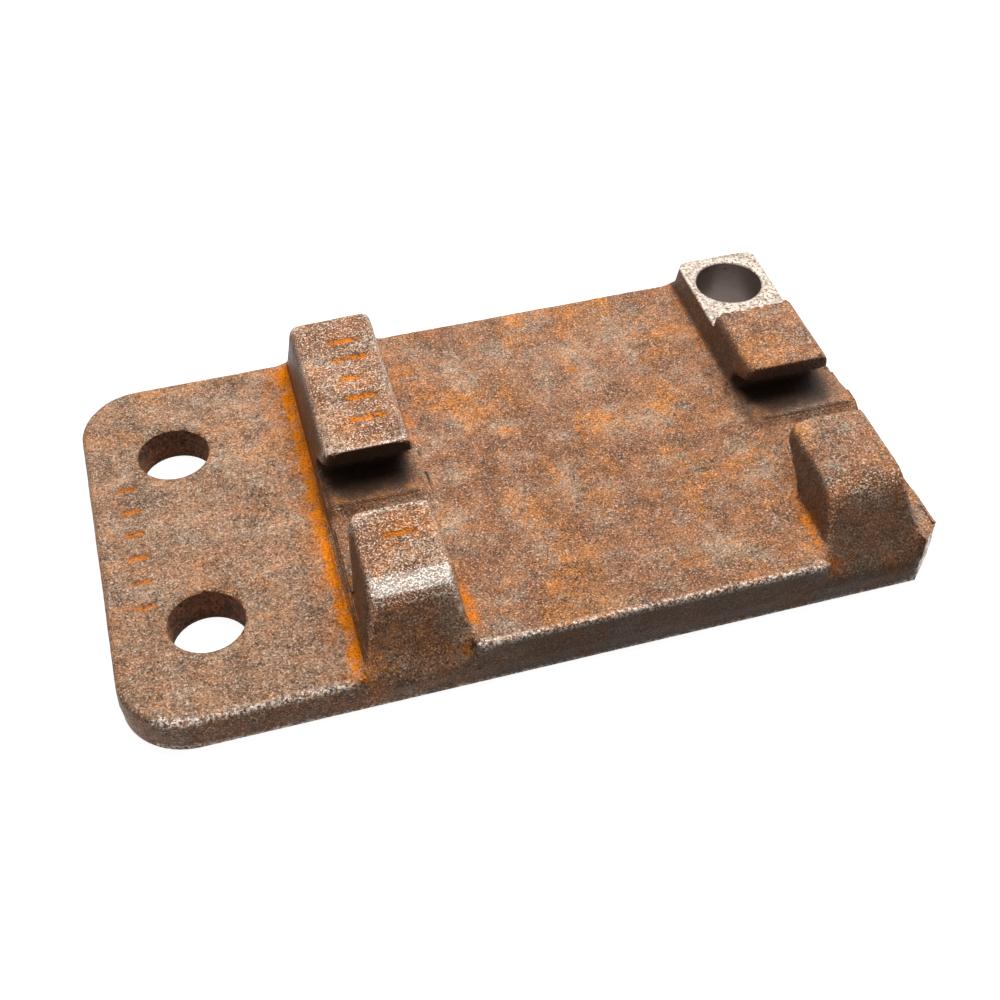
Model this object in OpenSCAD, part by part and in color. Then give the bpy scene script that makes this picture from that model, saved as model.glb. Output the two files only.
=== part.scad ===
// Rail tie plate: one ductile iron casting. A thin spike field with two holes,
// a thicker rail seat, and two hooked shoulders. Each shoulder is cut by a
// channel that is wider at its floor than at its mouth, so a clip foot can be
// slid in from the side and held under both noses.
// X runs along the plate from the spike field, Y from front to rear, Z up.
// The origin is on the underside, at the middle of the plate.

/* [Plate] */
// Width of the plate, front to rear
plate_w = 180; // [170:1:200]
// Length of the thin spike field, up to the first shoulder
spike_field_l = 87.7; // [80:0.5:120]
// Clear rail seat between the feet of the two shoulders
rail_seat_w = 136.6; // [120:0.1:170]
// Plate left outside the second shoulder
end_margin = 8.2; // [6:0.1:15]
// Thickness of the spike field
spike_field_t = 14.9; // [12:0.1:17]
// Thickness under the rail seat
rail_seat_t = 19.7; // [19:0.1:26]
// Radius of the two outer corners of the spike field, seen from above
corner_r = 25; // [10:1:35]
// Radius of the other corners, seen from above
end_corner_r = 4; // [4:0.5:8]
// Rounding along the top edges of the spike field
field_edge_r = 2.6; // [1:0.2:3]
// Rounding along the top edges of the rail seat
seat_edge_r = 2; // [1:0.2:3]
// Height of the parting line above the underside
parting_z = 7.5; // [5:0.5:10]
// Draft of the plate's sides, in degrees
plate_draft = 4; // [1:0.5:5]
// How far the end edge draws in towards the rear corner
end_relief = 4.4; // [0:0.1:5]
// Sawn flat across the front end corner, measured along each edge
sawn_corner = 12; // [4:0.1:14]

/* [Spike holes] */
// Diameter of the spike holes and of the drilled hook
spike_d = 28.6; // [20:0.1:30]
// Distance between the two spike holes
spike_pitch = 91.8; // [60:0.2:110]
// Distance of the holes from the outer edge of the spike field
spike_inset = 35.3; // [32:0.1:45]
// Edge break around each hole
hole_break = 0.7; // [0.3:0.1:1.2]

/* [Shoulders] */
// Width of a shoulder at its foot
shoulder_w = 38.8; // [36:0.1:46]
// Lean of the shoulders towards the spike field at the front, in degrees
skew = 1.1; // [0:0.1:1.5]
// Height of the hooks above the rail seat
hook_h = 18.3; // [16:0.1:24]
// Draft of the walls on the far side of the hooks, in degrees
hook_draft = 7; // [3:0.5:8]
// Draft of the rear hooks' walls on the spike field's side, in degrees
rear_near_draft = 7.5; // [3:0.5:10]
// Draft of the front hooks' walls on the spike field's side, in degrees
front_near_draft = 13; // [5:0.5:16]
// How far the front hooks' wall on that side stands in from their foot line
front_setback = 1.2; // [0:0.1:2]
// How far the hooks' rear wall stands in from the plate's rear
rear_setback = 1.7; // [1.4:0.1:3]
// Rounding of the noses' upright corners on the far side
far_corner_r = 1.5; // [1:0.5:5]
// Rounding of the noses' upright corners on the spike field's side
near_corner_r = 4; // [1:0.5:5]
// Rounding of the top edges on the far side of the hooks
far_edge_r = 3.6; // [2:0.1:4]
// Rounding of the top edges on the spike field's side
near_edge_r = 5; // [2:0.1:6]
// Length of the flat top in front of the channel's mouth
front_flat_l = 29; // [22:0.5:32]
// Radius where the flat top bends into the front slope
bend_r = 17; // [10:0.5:20]
// Fall of the front slope, in degrees
slope_angle = 51; // [45:1:56]
// Rounding where the front slope meets the plate's front
toe_r = 8; // [2:0.5:10]
// Fillet where the shoulders meet the rail seat
seat_fillet_r = 3.5; // [2:0.1:5]
// Fillet where the second shoulder meets the end margin
end_fillet_r = 2.5; // [1.5:0.1:3]
// Fillet where the spike field meets the rail seat
field_fillet_r = 4; // [2:0.1:4.5]

/* [Channel] */
// Distance of the mouth's front lip from the plate's front
mouth_y = 60; // [57:0.5:64]
// Width of the mouth, between the two noses
mouth_w = 32.5; // [26:0.5:40]
// How far the front nose overhangs the floor
front_overhang = 24; // [12:0.5:26]
// How far the rear nose overhangs the floor
rear_overhang = 13; // [8:0.5:20]
// Height of the front nose's upright face
front_nose_t = 5; // [4:0.5:7]
// Height of the rear nose's upright face
rear_nose_t = 6.6; // [4:0.1:9]
// Rounding of the nose edges
nose_edge_r = 1; // [0.5:0.1:1.5]
// Fillet at the rear foot of the channel
foot_r = 4; // [2:0.5:5]
// Depth of the channel's floor below the rail seat, in front of the pad
floor_relief = 0.5; // [0.4:0.1:1]
// Rise of the machined pad above the rail seat
pad_rise = 3.6; // [2:0.1:5]
// Length of the machined pad, from the rear foot to its front
pad_l = 26.2; // [18:0.2:34]
// Rounding of the pad's crest
pad_crest_r = 1.5; // [0.5:0.1:1.8]

/* [Drilled hook] */
// Height of the milled face above the rail seat
milled_h = 11.8; // [8:0.1:15]
// Length of the milled face, from the rear
milled_l = 49.3; // [44:0.1:56]
// Distance of the hole's centre from the plate's rear
drill_rear = 22; // [20:0.2:28]
// Distance of the hole's centre from the shoulder's foot on the rail side
drill_x = 20.6; // [20:0.1:21]

/* [Hidden] */
$fn = 64;
iron = [0.45, 0.33, 0.26];
arc_steps = 6;
over = 1;
// Faces that meet at a shallow angle are buried by this much
sink = 0.05;
plate_l = spike_field_l + shoulder_w + rail_seat_w + shoulder_w + end_margin;
first_x = spike_field_l;
second_x = spike_field_l + shoulder_w + rail_seat_w;
hook_top = rail_seat_t + hook_h;
floor_front = mouth_y - front_overhang;
nose_y = mouth_y + mouth_w;
floor_rear = nose_y + rear_overhang;
nose_under = hook_top - rear_nose_t;
milled_z = rail_seat_t + milled_h;
mid_y = (mouth_y + nose_y) / 2;
bend_y = mouth_y - front_flat_l;
bend_z = hook_top - bend_r;
slope_normal = 90 + slope_angle;
foot_z = spike_field_t - over;

// Points of an arc about [x, y], from angle a0 to angle a1
function arc(x, y, r, a0, a1, n = arc_steps) =
    [for (i = [0:n]) let (a = a0 + (a1 - a0) * i / n) [x + r * cos(a), y + r * sin(a)]];

// How far a side has drawn in at height z above the parting line
function side_inset(z) = (z - parting_z) * tan(plate_draft);

// How far the shoulders have leant along X at a place y
function lean(y) = (y - plate_w / 2) * tan(skew);

// Half section of the plate's edge, about a corner of radius r: drafted both
// ways from the parting line, with a rounded top edge
module edge_section(r, height, edge_r) {
    c = r - side_inset(height - edge_r) - edge_r / cos(plate_draft);
    polygon(concat(
        [[0, 0], [r - parting_z * tan(plate_draft), 0], [r, parting_z]],
        arc(c, height - edge_r, edge_r, plate_draft, 90),
        [[0, height]]
    ));
}

// One corner of a slab, turned about its own upright axis
module corner_post(x, y, r, height, edge_r) {
    translate([x, y, 0])
        rotate_extrude($fn = 64)
            edge_section(r, height, edge_r);
}

// Thin slab that holds the spike holes; it runs on under the first shoulder
module spike_field() {
    run_on = first_x + shoulder_w / 2;
    hull() {
        for (y = [corner_r, plate_w - corner_r])
            corner_post(corner_r, y, corner_r, spike_field_t, field_edge_r);
        for (y = [end_corner_r, plate_w - end_corner_r])
            corner_post(run_on, y, end_corner_r, spike_field_t, field_edge_r);
    }
}

// Thick slab under the rail seat and the shoulders
module rail_seat() {
    near_x = first_x + end_corner_r - side_inset(spike_field_t);
    far_x = plate_l - end_corner_r;
    hull() {
        for (y = [end_corner_r, plate_w - end_corner_r])
            corner_post(near_x + lean(y), y, end_corner_r, rail_seat_t, seat_edge_r);
        for (p = [
            [far_x, end_corner_r],
            [far_x, floor_rear],
            [far_x - end_relief, plate_w - end_corner_r]
        ])
            corner_post(p[0], p[1], end_corner_r, rail_seat_t, seat_edge_r);
    }
}

// Height of the front slope above the underside at a place y
function slope_z(y) =
    bend_z + bend_r * sin(slope_normal)
    + (y - bend_y - bend_r * cos(slope_normal)) * tan(slope_angle);

// Centres, in side view, of the balls of radius r that round the rear hook's
// top edges
function rear_path(r) =
    let (
        z = hook_top - r,
        wall_y = plate_w - rear_setback - (z - rail_seat_t) * tan(hook_draft)
    )
    [[mid_y, z], [wall_y - r / cos(hook_draft), z]];

// The same for the front hook: flat top, bend and front slope
function front_path(r) =
    let (
        bend = arc(bend_y, bend_z, bend_r - r, 90, slope_normal, 4),
        last = bend[len(bend) - 1],
        run = last[0] - r - 2 * over
    )
    concat(
        [[mid_y, hook_top - r]],
        bend,
        [[last[0] - run, last[1] - run * tan(slope_angle)]]
    );

// Balls that round one top edge, inside a wall with its own draft. The wall
// faces -X when side is 1, and stands in from the foot line by setback
module edge_balls(path, r, draft, side, setback = 0) {
    for (p = path) {
        inset = setback + (p[1] - rail_seat_t) * tan(draft) + r / cos(draft);
        translate([lean(p[0]) + (side > 0 ? inset : shoulder_w - inset), p[0], p[1]])
            sphere(r, $fn = 32);
    }
}

// Foot of a hook from y0 to y1, wide enough for the draft of its walls
module hook_foot(y0, y1, near_draft, setback = 0) {
    drop = rail_seat_t - foot_z;
    near = setback + near_edge_r - drop * tan(near_draft);
    far = shoulder_w - far_edge_r + drop * tan(hook_draft);
    for (y = [y0, y1]) {
        translate([lean(y) + near, y, foot_z])
            cylinder(r = near_edge_r, h = 0.1, $fn = 32);
        translate([lean(y) + far, y, foot_z])
            cylinder(r = far_edge_r, h = 0.1, $fn = 32);
    }
}

// Hooks before the channel is cut: drafted walls, rounded top edges
module front_hook() {
    hull() {
        hook_foot(near_edge_r + over, mid_y, front_near_draft, front_setback);
        edge_balls(
            front_path(near_edge_r), near_edge_r, front_near_draft, 1, front_setback
        );
        edge_balls(front_path(far_edge_r), far_edge_r, hook_draft, -1);
    }
}

module rear_hook() {
    wall_y = plate_w - rear_setback + (rail_seat_t - foot_z) * tan(hook_draft);
    hull() {
        hook_foot(mid_y, wall_y - near_edge_r, rear_near_draft);
        edge_balls(rear_path(near_edge_r), near_edge_r, rear_near_draft, 1);
        edge_balls(rear_path(far_edge_r), far_edge_r, hook_draft, -1);
    }
}

// Tool that rounds one upright corner of a nose along its drafted wall. The
// nose lies towards +Y when into is 1, and its wall faces -X when side is 1
module nose_corner(y, into, side, draft, r, setback = 0) {
    translate([lean(y) + (side > 0 ? setback : shoulder_w), y, rail_seat_t])
        mirror([side < 0 ? 1 : 0, 0, 0])
            rotate([0, draft, 0])
                mirror([0, into < 0 ? 1 : 0, 0])
                    translate([0, 0, pad_rise])
                        linear_extrude(hook_h)
                            difference() {
                                translate([-over, -over])
                                    square(r + over);
                                translate([r, r])
                                    circle(r, $fn = 32);
                            }
}

// Side view of what is cleared away above the front slope; the slope runs out
// in a rounding on the plate's front
module scarf_section() {
    top = hook_top + 2 * over;
    toe_normal = 180 - plate_draft;
    toe_y = toe_r * (cos(slope_normal) - cos(toe_normal));
    toe_z = slope_z(toe_y) + sink;
    c = [toe_y - toe_r * cos(slope_normal), toe_z - toe_r * sin(slope_normal)];
    top_y = toe_y + (top - toe_z) / tan(slope_angle);
    polygon(concat(
        [[-over, top], [top_y, top]],
        arc(c[0], c[1], toe_r, slope_normal, toe_normal),
        [[-over, c[1] + toe_r * sin(toe_normal)]]
    ));
}

// Side view of the channel: mouth between the two noses, undercut both ways
module channel_section() {
    head = hook_top + 2 * over;
    e = nose_edge_r;
    under_front = hook_top - front_nose_t;
    polygon(concat(
        [[floor_front, rail_seat_t]],
        arc(mouth_y - e, under_front + e, e, -60, 0),
        arc(mouth_y - e, hook_top - e, e, 0, 90),
        [[mouth_y - e, head], [nose_y + e, head]],
        arc(nose_y + e, hook_top - e, e, 90, 180),
        arc(nose_y + e, nose_under + e, e, 180, 260),
        arc(floor_rear - foot_r, rail_seat_t + foot_r, foot_r, 40, -90)
    ));
}

// Side view of the relief in the channel's floor. It starts at the foot of the
// front nose and ends under the pad
module floor_section() {
    rear = floor_rear - pad_l + 0.3;
    polygon([
        [floor_front, rail_seat_t - floor_relief],
        [floor_front, rail_seat_t],
        [floor_front + 10, rail_seat_t + over],
        [rear, rail_seat_t + over],
        [rear, rail_seat_t - floor_relief]
    ]);
}

// Side view of the machined pad: it rises gently towards the front and ends
// in a short riser with a rounded crest
module pad_section() {
    e = pad_crest_r;
    front = floor_rear - pad_l;
    fall = atan2(pad_rise, pad_l);
    polygon(concat(
        [[floor_rear, spike_field_t], [floor_rear, rail_seat_t - sink]],
        arc(front + e, rail_seat_t + pad_rise - e, e, 90 - fall, 180),
        [[front, spike_field_t]]
    ));
}

// Extrudes a side view, drawn as [y, z], along X from x0 to x1
module along_x(x0, x1) {
    translate([x0, 0, 0])
        rotate([90, 0, 90])
            linear_extrude(x1 - x0)
                children();
}

// Section of a fillet strip: floor to the left, drafted wall to the right
module fillet_section(r, draft) {
    t = r * tan((90 - draft) / 2);
    root = 3;
    polygon(concat(
        arc(-t, r, r, -90, -draft, 8),
        [[root, t], [root, -root], [-t, -root]]
    ));
}

// Fillet strip from y0 to y1 along the foot of a leaning wall, at height z.
// Its floor lies towards -X when side is 1, and towards +X when it is -1
module fillet_strip(x, y0, y1, z, r, side, draft = hook_draft) {
    run = (y1 - y0) / cos(skew);
    translate([x + lean(y1) + side * sink, y1, z - sink])
        rotate([90, 0, -skew])
            mirror([side < 0 ? 1 : 0, 0, 0])
                linear_extrude(run)
                    fillet_section(r, draft);
}

// Side view of the room a strip may fill on a slab of a given thickness: its
// ends run out over the rounded edges of the slab
module run_out_section(thickness, edge_r, r) {
    reach = edge_r + r;
    base_z = thickness - edge_r;
    y = side_inset(base_z);
    polygon(concat(
        [[y, parting_z]],
        arc(y + reach, base_z, reach, 180, 90),
        arc(plate_w - y - reach, base_z, reach, 90, 0),
        [[plate_w - y, parting_z]]
    ));
}

// Fillets along one foot of a shoulder, in front of and behind the channel
module foot_fillets(x, r, side) {
    near = side > 0;
    front_x = near ? x + front_setback : x;
    front_draft = near ? front_near_draft : hook_draft;
    rear_draft = near ? rear_near_draft : hook_draft;
    z = rail_seat_t;
    difference() {
        intersection() {
            union() {
                fillet_strip(front_x, 0, floor_front - over, z, r, side, front_draft);
                fillet_strip(x, floor_rear + over, plate_w, z, r, side, rear_draft);
            }
            along_x(x - 3 * r, x + 3 * r)
                run_out_section(rail_seat_t, seat_edge_r, r);
        }
        along_x(x - 4 * r, x + 4 * r)
            scarf_section();
    }
}

// Fillet between the spike field and the step up to the rail seat
module step_fillet() {
    drop = (rail_seat_t - spike_field_t) * tan(plate_draft);
    intersection() {
        fillet_strip(first_x - drop, 0, plate_w, spike_field_t, field_fillet_r, 1);
        along_x(first_x - 3 * field_fillet_r, first_x + 3 * field_fillet_r)
            run_out_section(spike_field_t, field_edge_r, field_fillet_r);
    }
}

// One hooked shoulder: two drafted blocks with the channel cut between them
module shoulder() {
    difference() {
        union() {
            front_hook();
            rear_hook();
        }
        along_x(-10, shoulder_w + 10)
            channel_section();
        nose_corner(mouth_y, -1, 1, front_near_draft, near_corner_r, front_setback);
        nose_corner(mouth_y, -1, -1, hook_draft, far_corner_r);
        nose_corner(nose_y, 1, 1, rear_near_draft, near_corner_r);
        nose_corner(nose_y, 1, -1, hook_draft, far_corner_r);
    }
}

// Through hole with a small edge break at the top
module drilled_hole(x, y, top) {
    translate([x, y, -over])
        cylinder(d = spike_d, h = top + 2 * over);
    translate([x, y, top - hole_break])
        cylinder(d1 = spike_d, d2 = spike_d + 4 * hole_break, h = 2 * hole_break);
}

// Flat milled on the rear half of the second shoulder's rear hook
module milled_flat() {
    translate([second_x - 5, plate_w - milled_l, milled_z])
        cube([shoulder_w + 10, milled_l + over, hook_h + over]);
}

// Saw cut across the front end corner
module sawn_corner_cut() {
    translate([0, 0, -over])
        linear_extrude(hook_top + 2 * over)
            polygon([
                [plate_l - sawn_corner - over, -over],
                [plate_l + over, -over],
                [plate_l + over, sawn_corner + over]
            ]);
}

// Two slabs and two shoulders, cut back in front of each shoulder to its slope
module blank() {
    near_foot = lean(0) - (rail_seat_t - spike_field_t) * tan(front_near_draft);
    far_foot = lean(0) + shoulder_w;
    floor_near = lean(floor_front) - 0.3;
    floor_far = lean(floor_front) + shoulder_w + 0.3;
    difference() {
        union() {
            spike_field();
            rail_seat();
            step_fillet();
            for (x = [first_x, second_x])
                translate([x, 0, 0])
                    shoulder();
        }
        along_x(first_x + near_foot, first_x + far_foot)
            scarf_section();
        along_x(second_x + lean(0), second_x + far_foot)
            scarf_section();
        along_x(first_x - 5, first_x + floor_far)
            floor_section();
        along_x(second_x + floor_near, second_x + floor_far)
            floor_section();
    }
}

// Everything that comes out of the mould, before any machining
module casting() {
    blank();
    foot_fillets(first_x + shoulder_w, seat_fillet_r, -1);
    foot_fillets(second_x, seat_fillet_r, 1);
    foot_fillets(second_x + shoulder_w, end_fillet_r, -1);
    along_x(first_x + over, first_x + shoulder_w)
        pad_section();
    along_x(second_x + over, plate_l - side_inset(rail_seat_t))
        pad_section();
}

// The casting with its drilled, milled and sawn surfaces
module tie_plate() {
    color(iron)
        translate([-plate_l / 2, -plate_w / 2, 0])
            difference() {
                casting();
                for (side = [-1, 1])
                    drilled_hole(spike_inset, plate_w / 2 + side * spike_pitch / 2, spike_field_t);
                drilled_hole(second_x + drill_x, plate_w - drill_rear, milled_z);
                milled_flat();
                sawn_corner_cut();
            }
}

tie_plate();
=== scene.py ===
"""Rail tie plate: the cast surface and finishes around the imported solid, and a
plain studio. Laid out as an add-on and run as a script."""
import math

import bmesh
import bpy
import numpy as np
from bpy.props import FloatProperty, FloatVectorProperty, PointerProperty
from mathutils import Euler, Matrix, Vector, kdtree, noise
from mathutils.bvhtree import BVHTree


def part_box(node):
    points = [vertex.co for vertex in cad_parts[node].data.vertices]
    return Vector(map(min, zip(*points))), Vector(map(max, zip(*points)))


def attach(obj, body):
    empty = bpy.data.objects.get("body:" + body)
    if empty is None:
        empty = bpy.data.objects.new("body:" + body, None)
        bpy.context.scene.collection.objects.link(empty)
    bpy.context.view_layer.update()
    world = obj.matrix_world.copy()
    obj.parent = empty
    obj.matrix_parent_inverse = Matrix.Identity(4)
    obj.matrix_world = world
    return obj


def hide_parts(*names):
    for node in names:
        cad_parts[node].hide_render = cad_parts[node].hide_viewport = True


bl_info = {
    "name": "Rail tie plate",
    "version": (1, 0, 0),
    "blender": (4, 5, 0),
    "location": "3D View > Sidebar > Tie plate",
    "description": "Dresses the packed tie plate as rusty cast iron in a studio",
    "category": "Object",
}

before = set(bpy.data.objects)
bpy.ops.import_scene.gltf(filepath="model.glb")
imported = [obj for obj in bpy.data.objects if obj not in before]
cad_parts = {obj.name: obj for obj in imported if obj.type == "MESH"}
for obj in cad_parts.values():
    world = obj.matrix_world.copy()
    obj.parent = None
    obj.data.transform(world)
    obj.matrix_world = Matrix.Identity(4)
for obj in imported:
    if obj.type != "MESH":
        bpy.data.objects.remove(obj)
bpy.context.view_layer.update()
NODE = "tie_plate"
LOW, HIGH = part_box(NODE)
MM = 0.001

# Places on the plate, in millimetres from its spike-field edge, front and underside
SPIKE_HOLES = ((35.3, 44.1), (35.3, 135.9))
HOOK_HOLE = (283.7, 158.0)
BORE_R = 14.3
# The step between the spike field and the rail seat ends before this x, and
# nothing on the spike field reaches this height
STEP_X = 92.0
FIELD_LIMIT_Z = 16.5
SEAT_Z = 19.7
# The second shoulder, with the height of its milled face and where that starts
SECOND_SHOULDER = (262.0, 303.0)
OUTER_FOOT_X = 300.0
MILLED_Z = 31.5
MILLED_Y = 130.7
HOOK_TOP = 38.0
# The sawn corner lies in front of this y
SAWN_Y = 13.0
# Corners of the slab beside the front slopes, which the mould leaves blunt
BLUNT_CORNERS = (
    (126.0, 4.0, 15.5), (85.5, 4.0, 12.0), (261.6, 4.0, 15.5), (301.5, 6.0, 15.5),
)
# Channels between the hooks: (x0, x1) of each, the y range of both, the front
# of the rear noses, and a height that clears the pads
CHANNELS = ((84.0, 129.0), (258.0, 310.0))
CHANNEL_Y = (30.0, 112.0)
NOSE_Y = 92.0
OVER_PADS_Z = 24.0
# The pads: front, relieved floor and top, then (x0, x1, side of the inner end)
PAD_FRONT = 79.3
FLOOR_Z = 19.2
PAD_TOP_Z = 23.3
PADS = ((87.7, 126.5, 1.0), (263.1, 310.0, -1.0))
# Zones of plain foundry marks: (x0, x1, y0, y1, lowest z)
MARK_ZONES = (
    (8.5, 22.0, 52.0, 128.0, 14.0),
    (97.0, 121.0, 101.0, 165.0, 37.0),
    (98.0, 120.0, 38.0, 52.0, 37.0),
)

# How far the milling cutter dragged its ragged edge, back and up
BURR_DRAG = 2.0
BURR_LIFT = 0.5
# How far the pads' front and inner ends lean out at their foot
PAD_FRONT_LEAN = 3.2
PAD_END_LEAN = 2.6

# Metres: how far apart faces are compared to find hollows and rims, how far a
# roof shades a channel, and how little still counts as one point
BEND_REACH = 0.0062
SHADE_REACH = 0.045
TOUCHING = 1e-5
MAX_FACES = 200_000

# The studio: where each light stands and its size, and the camera's place
KEY_LIGHT = ((0.20, 0.44, 0.98), (1.1, 0.9))
SIDE_LIGHT = ((-1.2, -0.5, 0.55), (0.8, 0.6))
FLOOR_R = 4.0
FLOOR_GAP = 0.0002
FLOOR_GLOW = 0.94
CAMERA_AT = (-0.1118248, -0.4046457, 0.4212829)
CAMERA_TURN = (44.76996, 0.25985, -16.25222)
SENSOR_WIDTH = 36.0


def place(x, y, z=0.0):
    """A point of the plate, from its corner in millimetres, in the row frame."""
    return Vector((LOW.x + x * MM, LOW.y + y * MM, LOW.z + z * MM))


def spot_of(co):
    """The place of a point on the plate, from its corner in millimetres."""
    return [(co[i] - LOW[i]) / MM for i in range(3)]


def climb(value, low, high):
    """0 below low, 1 above high, and straight between them."""
    return min(1.0, max(0.0, (value - low) / (high - low)))


def climbs(values, low, high):
    """The same for a whole array."""
    return np.clip((values - low) / (high - low), 0, 1)


def eased(t):
    """A share from 0 to 1 with soft ends."""
    return t * t * (3 - 2 * t)


# ---------------------------------------------------------------- settings


def colour(name, description, value):
    return FloatVectorProperty(
        name=name, description=description, default=value, subtype="COLOR",
        size=3, min=0.0, max=1.0,
    )


class CastingSettings(bpy.types.PropertyGroup):
    """Sizes and colours of the casting's surface."""

    facet: FloatProperty(
        name="Facet size", description="Grid on which the skin is shaped",
        default=0.0021, min=0.0012, max=0.006, unit="LENGTH",
    )
    fine_facet: FloatProperty(
        name="Fine facet size", description="Grid around the foundry marks",
        default=0.0006, min=0.0004, max=0.002, unit="LENGTH",
    )
    softening: FloatProperty(
        name="Edge softening", description="Reach of the rounding on cast edges",
        default=0.0016, min=0.0, max=0.004, unit="LENGTH",
    )
    relief: FloatProperty(
        name="Skin relief", description="Height of the waves in the cast skin",
        default=0.00022, min=0.0, max=0.001, unit="LENGTH",
    )
    mark_depth: FloatProperty(
        name="Mark depth", description="Depth of the plain foundry marks",
        default=0.0007, min=0.0, max=0.002, unit="LENGTH",
    )
    grain: FloatProperty(
        name="Sand grain", description="Size of the grain left by the mould",
        default=0.00072, min=0.0003, max=0.003, unit="LENGTH",
    )
    umber: colour("Umber rust", "Main colour of the cast skin", (0.335, 0.150, 0.068))
    ochre: colour("Ochre rust", "Mottled patches on the skin", (0.54, 0.205, 0.050))
    ash: colour("Ash", "Grey scale between the rust", (0.40, 0.275, 0.185))
    flame: colour("Fresh rust", "Rust gathered in the fillets", (0.86, 0.240, 0.002))
    # The dark scale colour also paints the shade on faces turned from the light and in the
    # channels
    soot_and_shade: colour("Dark scale", "Dark pits and sheltered faces", (0.045, 0.026, 0.017))
    # The worn metal colour also paints the highlights and glints on the hook tops, edges and
    # grain
    metal_and_highlight: colour("Worn metal", "Metal that shows on worn edges", (0.95, 0.84, 0.74))
    milled: colour("Milled face", "Freshly cut iron", (0.82, 0.72, 0.62))
    bore: colour("Bore wall", "Drilled wall of the hook hole", (0.27, 0.21, 0.185))


class StudioSettings(bpy.types.PropertyGroup):
    """Sizes and strengths of the studio."""

    lens: FloatProperty(
        name="Lens", description="Focal length on a 36 mm sensor, in millimetres",
        default=52.788, min=20.0, max=200.0,
    )
    key_power: FloatProperty(
        name="Key light", description="Power of the large overhead light",
        default=17.0, min=0.0, unit="POWER",
    )
    side_power: FloatProperty(
        name="Side light", description="Power of the light on the left",
        default=0.5, min=0.0, unit="POWER",
    )
    sky: FloatProperty(
        name="Room light", description="Strength of the light from all round",
        default=0.05, min=0.0, max=1.0,
    )
    floor_tone: colour("Floor", "Colour of the floor", (0.42, 0.42, 0.42))


# ---------------------------------------------------------------- node helpers


class Nodes:
    """Short words for building one node tree."""

    def __init__(self, tree):
        self.tree = tree

    def add(self, kind, **values):
        node = self.tree.nodes.new("ShaderNode" + kind)
        for key, value in values.items():
            setattr(node, key, value)
        return node

    def link(self, source, target):
        if isinstance(source, bpy.types.NodeSocket):
            self.tree.links.new(source, target)
        else:
            target.default_value = source

    def maths(self, operation, a, b=0.5, clamp=False):
        node = self.add("Math", operation=operation, use_clamp=clamp)
        self.link(a, node.inputs[0])
        self.link(b, node.inputs[1])
        return node.outputs[0]

    def ramp(self, value, low, high):
        """0 below low, 1 above high, with soft ends."""
        node = self.add("MapRange", clamp=True)
        node.interpolation_type = "SMOOTHSTEP"
        self.link(value, node.inputs["Value"])
        self.link(low, node.inputs["From Min"])
        self.link(high, node.inputs["From Max"])
        return node.outputs["Result"]

    def blend(self, factor, a, b, mode="MIX"):
        node = self.add("Mix", data_type="RGBA", blend_type=mode, clamp_factor=True)
        self.link(factor, node.inputs[0])
        for value, socket in ((a, node.inputs[6]), (b, node.inputs[7])):
            if isinstance(value, bpy.types.NodeSocket):
                self.link(value, socket)
            else:
                socket.default_value = (*value, 1.0)
        return node.outputs[2]

    def noise(self, vector, scale, detail=4.0, rough=0.55, distortion=0.0):
        node = self.add("TexNoise")
        self.link(vector, node.inputs["Vector"])
        self.link(scale, node.inputs["Scale"])
        node.inputs["Detail"].default_value = detail
        node.inputs["Roughness"].default_value = rough
        node.inputs["Distortion"].default_value = distortion
        return node.outputs["Fac"]

    def attribute(self, name):
        return self.add("Attribute", attribute_name=name).outputs["Fac"]

    def place(self):
        return self.add("TexCoord").outputs["Object"]

    def seen_white(self):
        """1 where the camera, a reflection or clear glass looks, 0 for light."""
        path = self.add("LightPath").outputs
        seen = self.maths("MAXIMUM", path["Is Camera Ray"], path["Is Glossy Ray"])
        return self.maths("MAXIMUM", seen, path["Is Transmission Ray"])

    def ends(self):
        """The input and output of a group."""
        source = self.tree.nodes.new("NodeGroupInput")
        target = self.tree.nodes.new("NodeGroupOutput")
        return source.outputs, target.inputs


def new_group(name, inputs, outputs):
    """An empty shader node group with named sockets; returns it and its Nodes."""
    group = bpy.data.node_groups.new(name, "ShaderNodeTree")
    for label, kind, value in inputs:
        socket = group.interface.new_socket(label, in_out="INPUT", socket_type=kind)
        socket.default_value = value
    for label, kind in outputs:
        group.interface.new_socket(label, in_out="OUTPUT", socket_type=kind)
    n = Nodes(group)
    return group, n, n.ends()


VALUE, COLOUR = "NodeSocketFloat", "NodeSocketColor"


def rust_mottle_group():
    """Blotches of two rusts and grey scale, from broad patches down to specks."""
    group, n, (given, out) = new_group(
        "Rust mottle",
        (
            ("Umber", COLOUR, (0.3, 0.16, 0.1, 1)),
            ("Ochre", COLOUR, (0.5, 0.2, 0.06, 1)),
            ("Ash", COLOUR, (0.3, 0.25, 0.2, 1)),
            ("Patch Size", VALUE, 0.02),
            ("Ochre Share", VALUE, 0.5),
        ),
        (("Color", COLOUR), ("Patches", VALUE)),
    )
    spot = n.place()
    scale = n.maths("DIVIDE", 1.0, given["Patch Size"])
    broad = n.noise(spot, scale, 7.0, 0.66, 0.3)
    small = n.noise(spot, n.maths("MULTIPLY", scale, 6.5), 4.0, 0.7, 0.2)
    small = n.maths("MULTIPLY", small, 0.32)
    both = n.maths("ADD", n.maths("MULTIPLY", broad, 0.68), small)
    bar = n.maths("SUBTRACT", 0.68, n.maths("MULTIPLY", given["Ochre Share"], 0.36))
    patches = n.ramp(both, n.maths("SUBTRACT", bar, 0.05), n.maths("ADD", bar, 0.13))
    grey = n.noise(spot, n.maths("MULTIPLY", scale, 1.5), 8.0, 0.72, 0.2)
    grey = n.ramp(grey, 0.44, 0.66)
    shade = n.blend(grey, given["Umber"], given["Ash"])
    n.link(n.blend(patches, shade, given["Ochre"]), out["Color"])
    n.link(patches, out["Patches"])
    return group


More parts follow.
